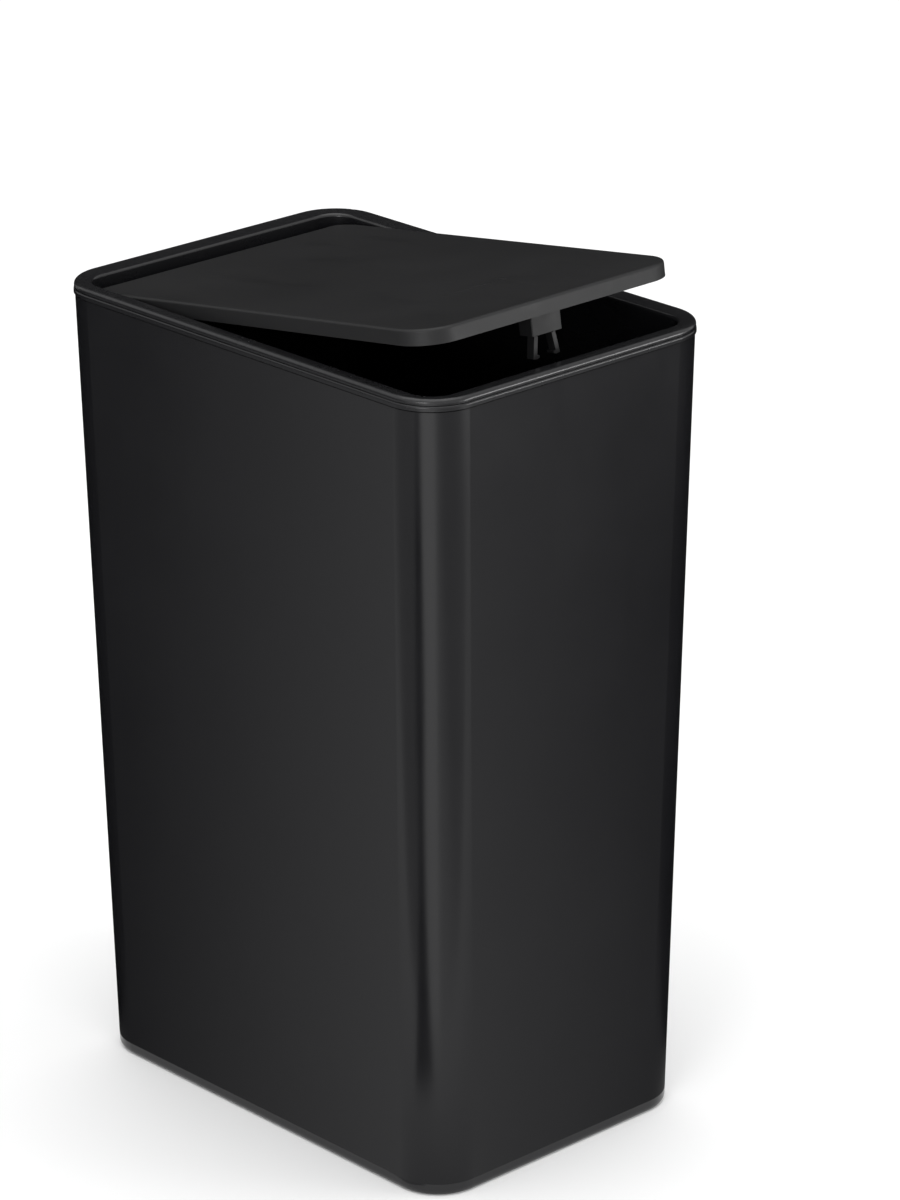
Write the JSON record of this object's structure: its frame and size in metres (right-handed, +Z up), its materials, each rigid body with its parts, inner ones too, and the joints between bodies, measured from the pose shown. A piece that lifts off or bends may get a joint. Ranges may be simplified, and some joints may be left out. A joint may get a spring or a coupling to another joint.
{
  "type": "push top countertop bin",
  "caption": "Slim rectangular countertop waste bin with a tapered tub, a lift-off top frame and a flat sprung lid on a rear hinge, held shut by a push latch.",
  "frame": {"origin": "centre of the base, on the surface the bin stands on", "axes": "+Z up, +Y towards the hinged rear, +X to the right seen from the front"},
  "size_m": [0.146, 0.211, 0.3428],
  "materials": {
    "tub_plastic": "satin",
    "frame_plastic": "satin",
    "lid_plastic": "fine matte",
    "bracket_plastic": "satin",
    "latch_plastic": "satin",
    "pin_steel": "satin",
    "spring_steel": "satin",
    "screw_steel": "zinc plated"
  },
  "bodies": {
    "tub": {"bin_body": "tub_plastic"},
    "frame": {"top_frame": "frame_plastic", "hinge_bracket_left": "bracket_plastic", "hinge_bracket_right": "bracket_plastic", "hinge_bracket_screws": "screw_steel", "hinge_pin_left": "pin_steel", "hinge_pin_right": "pin_steel", "latch_striker": "bracket_plastic", "striker_screws": "screw_steel"},
    "lid": {"lid_panel": "lid_plastic", "latch_housing": "latch_plastic", "latch_cover": "latch_plastic", "latch_screws": "screw_steel", "latch_spring": "spring_steel", "latch_cam_wire": "spring_steel", "hinge_spring_left": "spring_steel", "hinge_spring_right": "spring_steel"},
    "plunger": {"latch_plunger": "latch_plastic", "latch_claw_pins": "pin_steel"},
    "claw_left": {"latch_claw_left": "latch_plastic"},
    "claw_right": {"latch_claw_right": "latch_plastic"}
  },
  "joints": [
    {"name": "frame_lift", "type": "slide", "parent": "tub", "child": "frame", "axis": [0, 0, 1], "range_m": [0, 0.06]},
    {"name": "lid_hinge", "type": "hinge", "parent": "frame", "child": "lid", "pos_m": [0, 0.0905, 0.31], "axis": [-1, 0, 0], "range_deg": [-8.5, 51.7], "stiffness_Nm_per_rad": 0.17, "springref_deg": 19.58, "deforming": ["hinge_spring_left", "hinge_spring_right"]},
    {"name": "plunger_slide", "type": "slide", "parent": "lid", "child": "plunger", "axis": [0, 0.1444, 0.9895], "range_m": [0, 0.0052], "stiffness_N_per_m": 300, "springref_m": -0.005, "deforming": ["latch_spring"]},
    {"name": "claw_left_swing", "type": "hinge", "parent": "plunger", "child": "claw_left", "pos_m": [-0.004, -0.08611, 0.32829], "axis": [0, -0.9895, 0.1444], "range_deg": [0, 10]},
    {"name": "claw_right_swing", "type": "hinge", "parent": "plunger", "child": "claw_right", "pos_m": [0.004, -0.08611, 0.32829], "axis": [0, 0.9895, -0.1444], "range_deg": [0, 10]}
  ],
  "couplings": [
    {"joint": "claw_left_swing", "follows": "plunger_slide", "rad_per_m": 33.5},
    {"joint": "claw_right_swing", "follows": "plunger_slide", "rad_per_m": 33.5}
  ]
}
